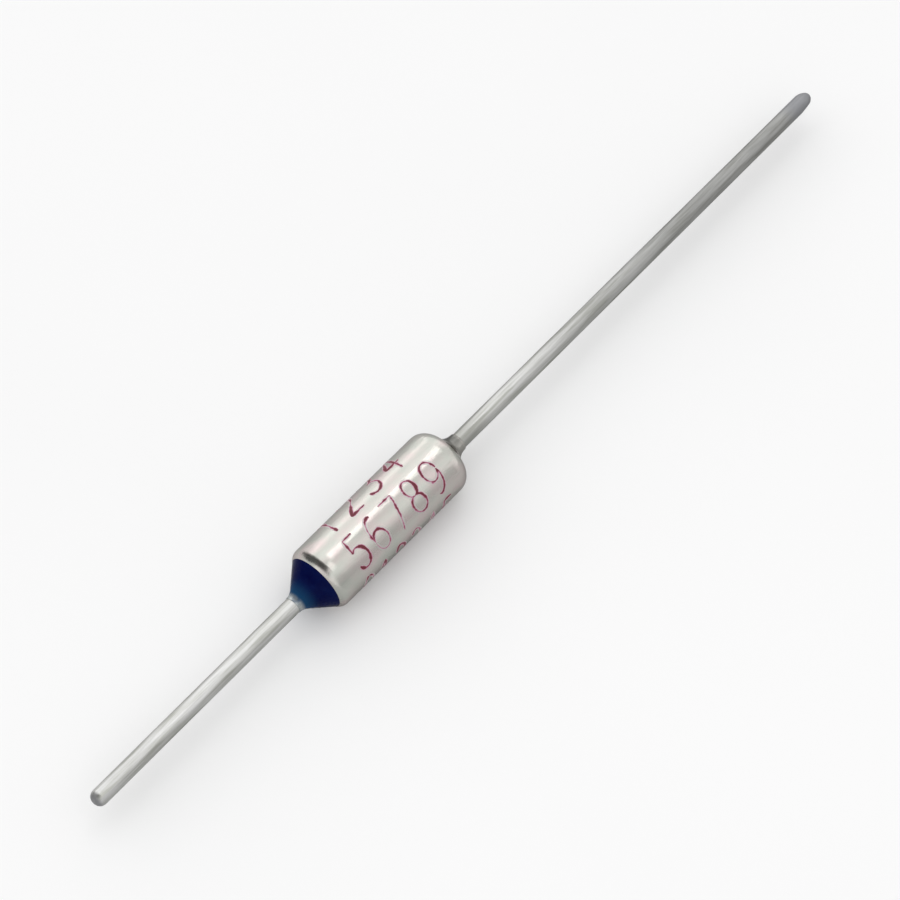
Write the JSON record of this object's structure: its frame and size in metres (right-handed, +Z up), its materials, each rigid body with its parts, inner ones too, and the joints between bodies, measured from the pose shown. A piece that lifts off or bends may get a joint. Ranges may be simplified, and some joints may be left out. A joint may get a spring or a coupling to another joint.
{
  "type": "thermal fuse",
  "caption": "Axial thermal fuse: satin metal case with a curled rim, a dark blue resin cone and straight wire leads. It opens a circuit when its inner pellet melts.",
  "frame": {"origin": "on the axis, at the middle of the case's straight barrel", "axes": "+X along the axis, from the resin-sealed isolated lead to the case lead; +Z up as the fuse lies flat"},
  "size_m": [0.0604, 0.004, 0.004],
  "materials": {
    "tinned_case": "satin tin plate",
    "tinned_lead": "satin tin plate",
    "blue_resin": "gloss",
    "white_ceramic": "matte",
    "silver_contact": "bright",
    "spring_steel": "drawn wire",
    "brass_disc": "rolled",
    "pellet": "pressed powder"
  },
  "bodies": {
    "root": {"case": "tinned_case", "case_lead": "tinned_lead", "isolated_lead": "tinned_lead", "sealing_resin": "blue_resin", "ceramic_bushing": "white_ceramic", "star_contact": "silver_contact", "trip_spring": "spring_steel", "contact_disc": "brass_disc", "barrel_spring": "spring_steel", "pellet_disc": "brass_disc", "thermal_pellet": "pellet"}
  },
  "joints": []
}
